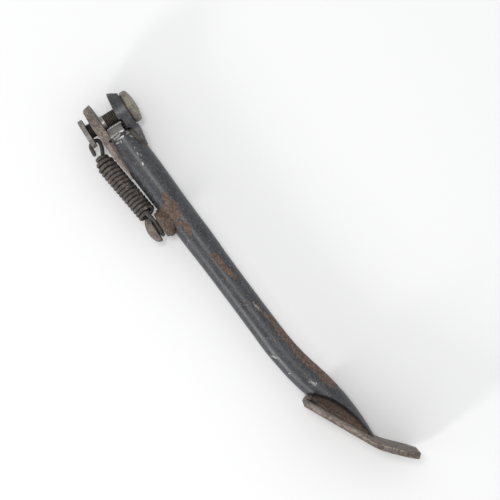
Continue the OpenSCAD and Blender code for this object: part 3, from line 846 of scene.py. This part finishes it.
def make_spring():
    """One wire from hook to hook."""
    path = spring_path()
    sides = 26
    along = np.arange(len(path)) * WIRE_STEP
    end = np.minimum(along, along[-1] - along)
    radius = WIRE_R * np.sqrt(np.clip(end / 0.8, 0.05, 1))
    piece = make_object("return_spring", tube_points(path, radius, sides), grid_faces(len(path), sides))
    points = points_of(piece)
    axis = np.array([math.cos(COIL_TILT), math.sin(COIL_TILT), 0])
    away = points - COIL_START
    away = away - (away @ axis)[:, None] * axis
    crest = (np.linalg.norm(away, axis=1) - COIL_R) / WIRE_R
    on_coils = smooth_step(points[:, 0], 20, 24) * (1 - smooth_step(points[:, 0], 64, 67))
    set_mask(piece, "rust", 0.34 + 0.30 * layered(points, 5, 401) + 0.10 * on_coils * crest)
    set_mask(piece, "bare_and_highlight", 0.35 * on_coils * smooth_step(crest, 0.6, 1.0)
             * smooth_step(noise(points, 2.0, 403), -0.2, 0.8) + 0.3 * specks(points, 0.8, 0.05, 405))
    # On the coils the inner half of each turn is darker; the hook wire beside the ear gets painted shade.
    set_mask(piece, "grime_and_shade", on_coils * (0.85 - 0.85 * smooth_step(crest, -0.2, 0.6)) + 0.12
             + 0.6 * smooth_step(points[:, 1], -17, -15) * (1 - smooth_step(points[:, 0], 14, 18)))
    push(piece, 0.03 * layered(points, 1.6, 407))
    finish_piece(piece, "spring_steel", None, "spring_coil", "spring_upper_hook")
    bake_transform(piece)


# --- Stage --------------------------------------------------------------------------------------

VIEW_CENTRE = (0.12315, 0.03329)
VIEW_WIDTH = 0.3325
CAMERA_HEIGHT = 1.0
IMAGE_RIGHT = (0.530, 0.848)
FLOOR_TONES = (0.765, 0.761, 0.757, 1), (0.775, 0.771, 0.767, 1)
WORLD_COLOUR, WORLD_STRENGTH = (0.975, 0.985, 1.0, 1), 0.90
LIGHTS = {
    # name: place, target and size in metres, and power in watts
    "overhead": ((-0.05, 0.0, 1.25), (0.12, 0.03, 0), (0.20, 0.20), 4.8),
    "side": ((0.38, -0.90, 0.36), (0.16, 0.02, 0), (0.25, 0.15), 3.6),
}


def make_camera():
    """Straight above the stand, turned so that the leg runs down and to the right."""
    data = bpy.data.cameras.new("camera")
    data.sensor_width = 36
    data.lens = data.sensor_width * CAMERA_HEIGHT / VIEW_WIDTH
    camera = bpy.data.objects.new("camera", data)
    c, s = IMAGE_RIGHT
    camera.matrix_world = Matrix([
        [c, -s, 0, VIEW_CENTRE[0]], [s, c, 0, VIEW_CENTRE[1]], [0, 0, 1, CAMERA_HEIGHT], [0, 0, 0, 1]])
    bpy.context.scene.collection.objects.link(camera)
    bpy.context.scene.camera = camera


def make_floor():
    """A plain pale floor just under the stand."""
    half, gap = 4000, 0.3
    z = CAD_BOX[0].z / MM - gap
    corners = [[-half, -half, z], [half, -half, z], [half, half, z], [-half, half, z]]
    floor = make_object("floor", corners, [(0, 1, 2, 3)])
    t = Tree("pale_floor")
    t.put(t.shader.inputs["Base Color"], t.mix(t.noise(900, 2), *FLOOR_TONES))
    t.shader.inputs["Roughness"].default_value = 0.7
    t.shader.inputs["Specular IOR Level"].default_value = 0.2
    floor.data.materials.append(t.material)


def make_light(name, place, target, size, power):
    """A soft oblong lamp that faces its target."""
    data = bpy.data.lights.new(name, "AREA")
    data.shape = "RECTANGLE"
    data.size, data.size_y = size
    data.energy = power
    lamp = bpy.data.objects.new(name, data)
    way = np.array(target) - np.array(place)
    back = -way / np.linalg.norm(way)
    right = np.cross([IMAGE_RIGHT[1], -IMAGE_RIGHT[0], 0], back)
    right /= np.linalg.norm(right)
    up = np.cross(back, right)
    lamp.matrix_world = Matrix([[*row, p] for row, p in zip(np.stack([right, up, back]).T, place)]
                               + [[0, 0, 0, 1]])
    bpy.context.scene.collection.objects.link(lamp)


def make_world():
    world = bpy.data.worlds.new("studio")
    world.use_nodes = True
    world.node_tree.nodes["Background"].inputs["Color"].default_value = WORLD_COLOUR
    world.node_tree.nodes["Background"].inputs["Strength"].default_value = WORLD_STRENGTH
    bpy.context.scene.world = world


def make_stage():
    make_camera()
    make_floor()
    make_world()
    for name, values in LIGHTS.items():
        make_light(name, *values)
    bpy.context.scene.view_settings.view_transform = "Standard"


make_stage()
make_leg()
for settings in WORN_NODES:
    make_from_node(*settings)
make_post_weld()
make_welds()
make_bolt()
make_washer()
make_spring()
